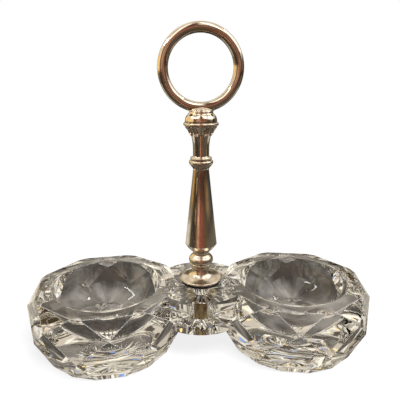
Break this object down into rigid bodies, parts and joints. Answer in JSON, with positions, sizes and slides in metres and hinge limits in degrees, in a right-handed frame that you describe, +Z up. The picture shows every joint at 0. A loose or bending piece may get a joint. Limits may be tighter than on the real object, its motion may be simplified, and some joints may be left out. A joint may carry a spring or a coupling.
{
  "type": "double salt cellar",
  "caption": "Double salt cellar: two faceted cut glass bowls joined by a disc, with a tall panelled metal handle ending in a ring.",
  "frame": {"origin": "on the table under the handle, at the centre of the part's box", "axes": "+X from the left bowl to the right bowl, +Y to the back, +Z up along the handle"},
  "size_m": [0.1492, 0.0672, 0.1351],
  "materials": {
    "crystal": "polished cut crystal",
    "silver": "polished aged silver",
    "brass": "turned, tarnished",
    "gasket": "matt"
  },
  "bodies": {
    "root": {"crystal": "crystal", "gasket": "gasket", "foot": "silver", "lower_knob": "silver", "shaft": "silver", "collar": "silver", "finial": "silver", "grip_ring": "silver", "rod": "brass", "under_washer": "brass", "nut": "brass"}
  },
  "joints": []
}
